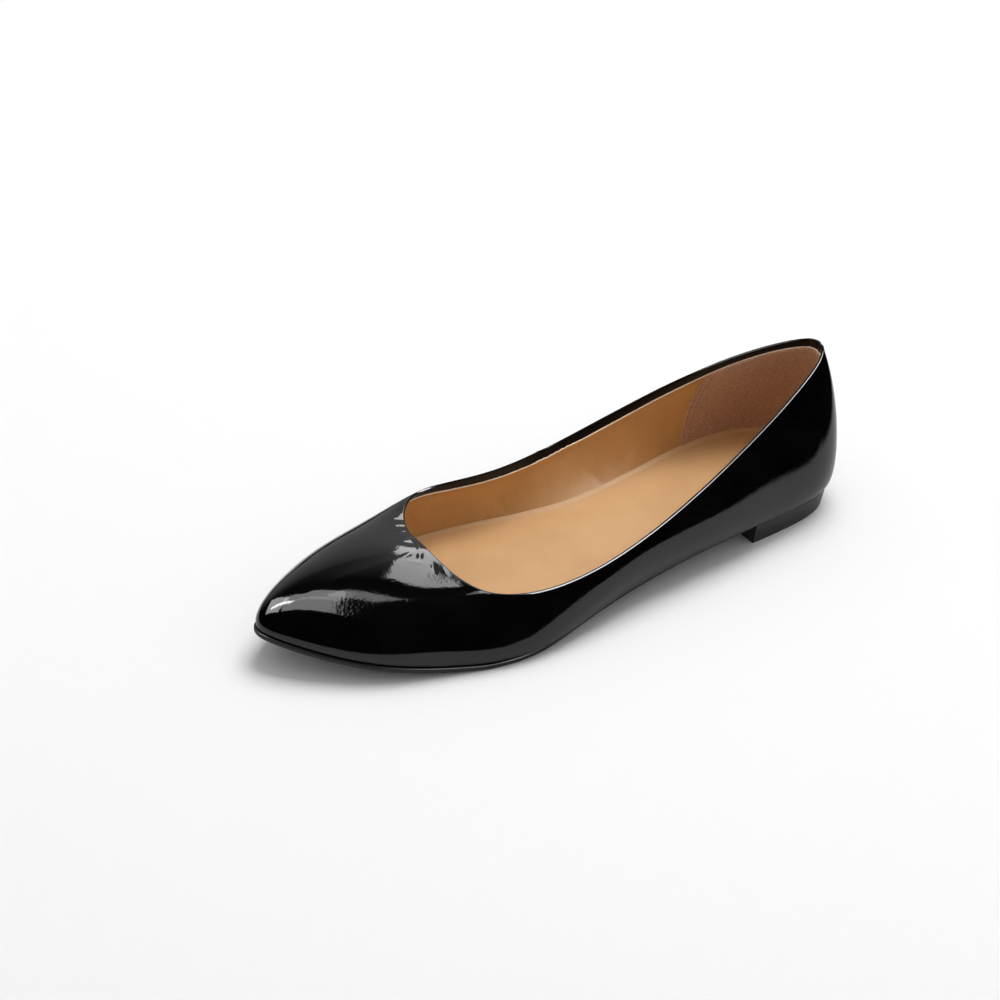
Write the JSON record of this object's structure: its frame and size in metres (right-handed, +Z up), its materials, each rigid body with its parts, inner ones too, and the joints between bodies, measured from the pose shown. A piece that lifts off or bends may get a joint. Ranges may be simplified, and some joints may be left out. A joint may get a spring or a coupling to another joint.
{
  "type": "pointed toe flat shoe",
  "caption": "Low-cut slip-on flat shoe for the left foot: pointed toe, glossy black patent upper, padded tan insole, thin outsole and low block heel.",
  "frame": {"origin": "on the floor, under the middle of the shoe's box", "axes": "+Z up; -Y towards the toe, so Y runs along the shoe; +X towards the outer side of the left foot"},
  "size_m": [0.0902, 0.2712, 0.0661],
  "materials": {
    "patent_leather": "high-gloss patent coating, fine grain under it",
    "insole_leather": "smooth tan sock, satin",
    "sole_rubber": "satin black, fine texture underneath",
    "heel_block": "satin black, rubber top piece on the floor"
  },
  "bodies": {
    "root": {"upper": "patent_leather", "insole": "insole_leather", "outsole": "sole_rubber", "heel": "heel_block"}
  },
  "joints": []
}
